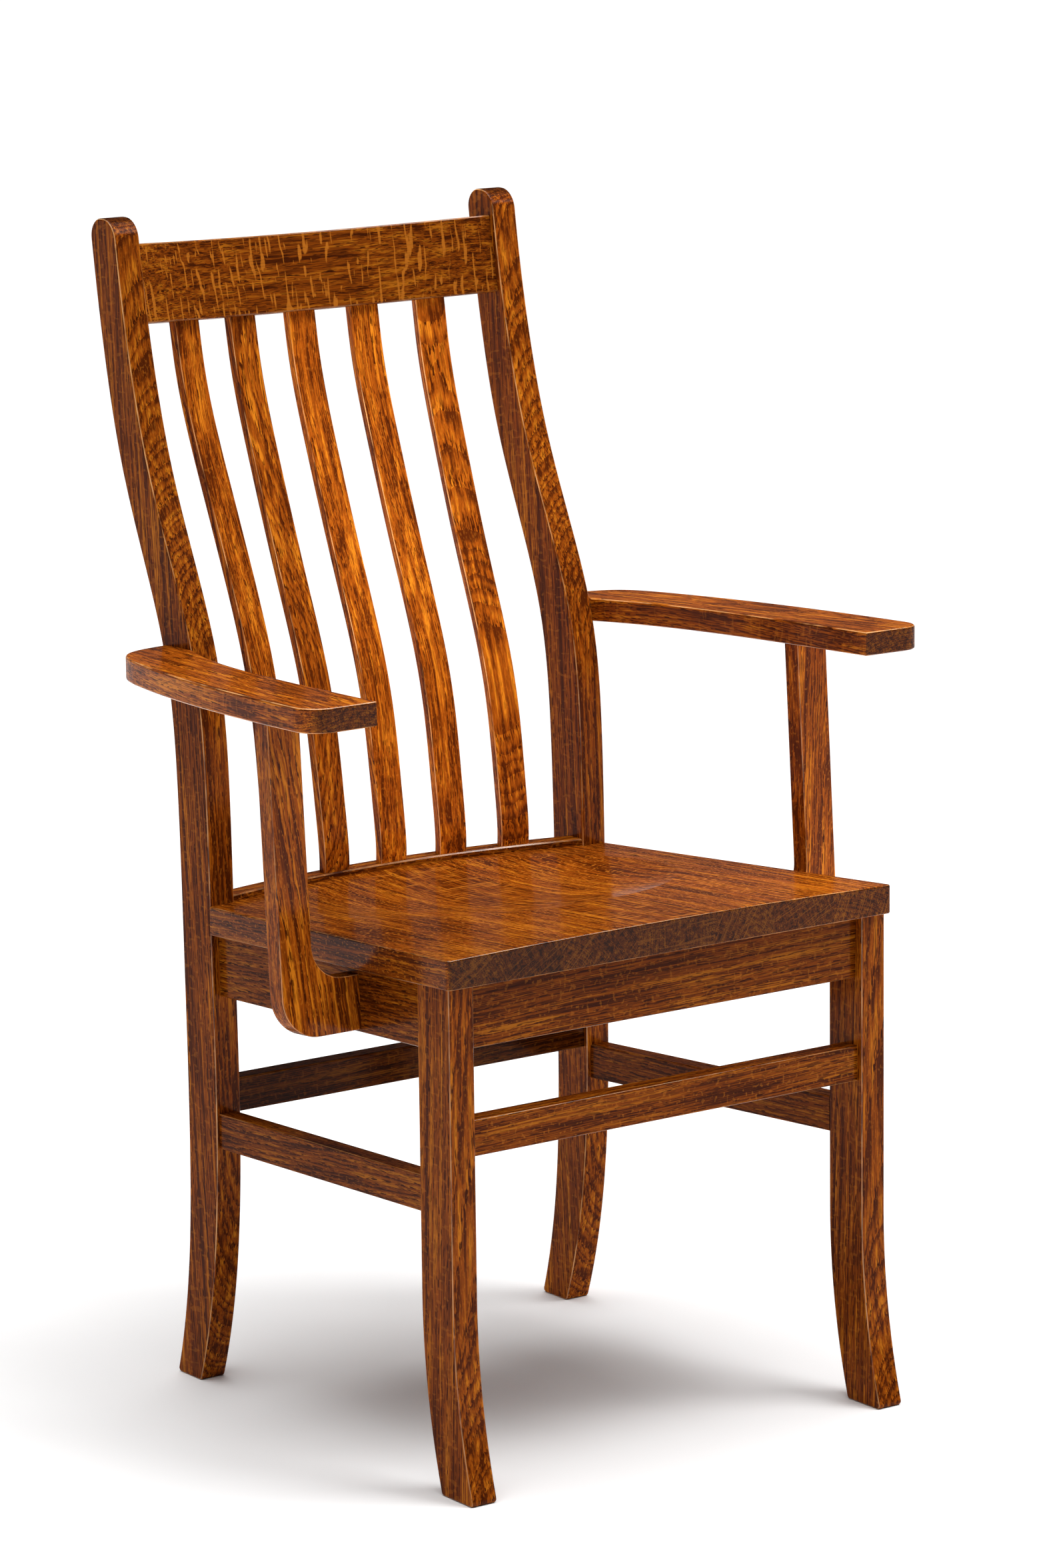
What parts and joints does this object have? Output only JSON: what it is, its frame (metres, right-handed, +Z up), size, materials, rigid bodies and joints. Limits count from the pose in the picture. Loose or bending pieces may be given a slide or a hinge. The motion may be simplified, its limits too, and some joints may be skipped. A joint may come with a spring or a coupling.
{
  "type": "wooden armchair",
  "caption": "Slat-back wooden armchair with a bowed crest rail, swept legs, a scooped solid seat and J-shaped arm supports.",
  "frame": {"origin": "floor level, in the middle of the chair's overall width and depth", "axes": "+X to the right as seen from the front, +Y from the front towards the back, +Z up; the chair stands on its feet"},
  "size_m": [0.637, 0.5844, 1.016],
  "materials": {
    "oak_posts": "satin lacquer over dark stain",
    "oak_slats": "satin lacquer over dark stain",
    "oak_seat": "satin lacquer over dark stain",
    "oak_arms": "satin lacquer over dark stain",
    "oak_rails": "satin lacquer over dark stain",
    "plain_blocks": "matt stain",
    "birch_dowels": "plain",
    "steel_screws": "zinc plated"
  },
  "bodies": {
    "root": {"arm_left": "oak_arms", "arm_post_dowels": "birch_dowels", "arm_right": "oak_arms", "arm_support_dowels": "birch_dowels", "arm_support_left": "oak_arms", "arm_support_right": "oak_arms", "back_slat_1": "oak_slats", "back_slat_2": "oak_slats", "back_slat_3": "oak_slats", "back_slat_4": "oak_slats", "back_slat_5": "oak_slats", "block_screws": "steel_screws", "crest_rail": "oak_rails", "front_apron": "oak_rails", "front_corner_block_left": "plain_blocks", "front_corner_block_right": "plain_blocks", "front_leg_left": "oak_posts", "front_leg_right": "oak_posts", "front_stretcher": "oak_rails", "rear_corner_block_left": "plain_blocks", "rear_corner_block_right": "plain_blocks", "rear_post_left": "oak_posts", "rear_post_right": "oak_posts", "rear_rail": "oak_rails", "rear_stretcher": "oak_rails", "seat_screws": "steel_screws", "seat_stave_1": "oak_seat", "seat_stave_2": "oak_seat", "seat_stave_3": "oak_seat", "seat_stave_4": "oak_seat", "seat_stave_5": "oak_seat", "seat_stave_6": "oak_seat", "side_apron_left": "oak_rails", "side_apron_right": "oak_rails", "side_stretcher_left": "oak_rails", "side_stretcher_right": "oak_rails", "support_screws": "steel_screws"}
  },
  "joints": []
}
